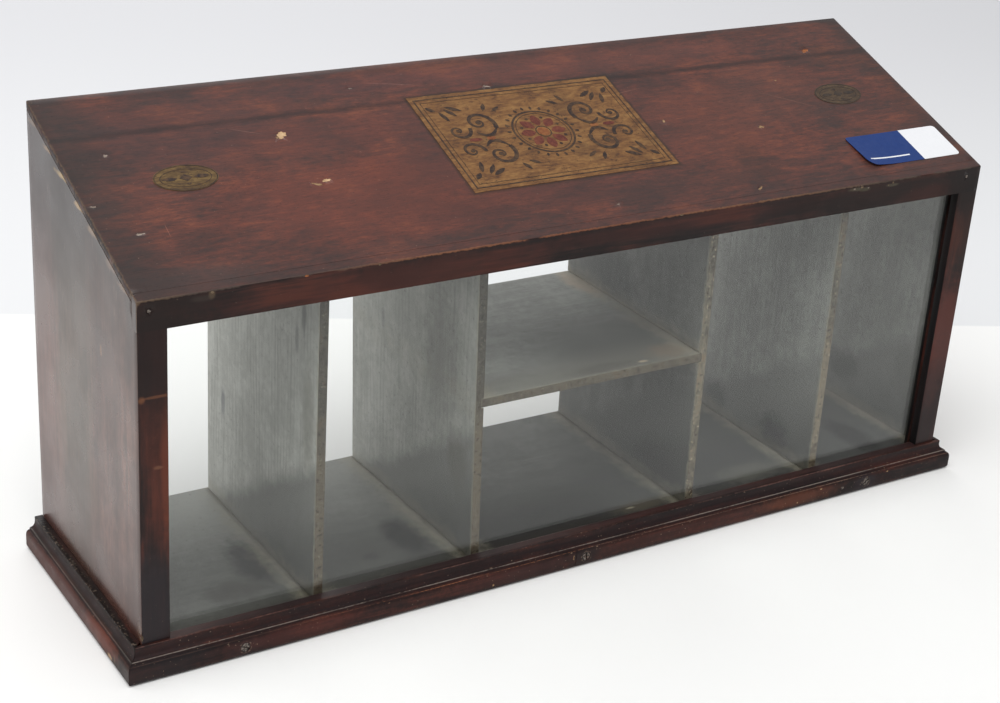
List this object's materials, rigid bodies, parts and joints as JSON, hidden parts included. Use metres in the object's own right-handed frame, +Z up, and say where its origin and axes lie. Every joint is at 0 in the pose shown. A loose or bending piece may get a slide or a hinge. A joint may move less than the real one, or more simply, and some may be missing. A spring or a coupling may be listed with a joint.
{
  "type": "counter display case",
  "caption": "Small wooden counter display case with a sloping top, fixed glass front, open back, upright dividers, a middle shelf and a cove moulding round the base.",
  "frame": {"origin": "middle of the underside of the case, on the surface it stands on", "axes": "+Z up, +X to the right seen from the glass front, so the glass front faces -Y and the open back faces +Y"},
  "size_m": [0.508, 0.1396, 0.2355],
  "materials": {
    "side_wood": "dark stain under worn, dulled varnish",
    "top_wood": "red-brown stain under worn satin varnish",
    "dark_wood": "dark brown stain under worn satin varnish",
    "bare_wood": "unvarnished, greyed and dusty",
    "glass": "clear",
    "steel": "blackened, slightly rusty",
    "gilt": "worn gilt transfer under varnish",
    "paper": "coated paper"
  },
  "bodies": {
    "root": {"side_board_left": "side_wood", "side_board_right": "side_wood", "top_board_front": "top_wood", "top_board_rear": "top_wood", "top_rail": "dark_wood", "bottom_rail": "dark_wood", "front_stile_left": "dark_wood", "front_stile_right": "dark_wood", "glass_pane": "glass", "floor_board": "bare_wood", "divider_1": "bare_wood", "divider_2": "bare_wood", "divider_3": "bare_wood", "divider_4": "bare_wood", "centre_shelf": "bare_wood", "base_moulding_front": "dark_wood", "base_moulding_left": "dark_wood", "base_moulding_right": "dark_wood", "moulding_screw_left": "steel", "moulding_screw_middle": "steel", "moulding_screw_right": "steel", "moulding_brad": "steel", "rail_nail_left": "steel", "rail_nail_right": "steel", "top_transfer": "gilt", "oval_transfer_left": "gilt", "oval_transfer_right": "gilt", "paper_label": "paper"}
  },
  "joints": []
}
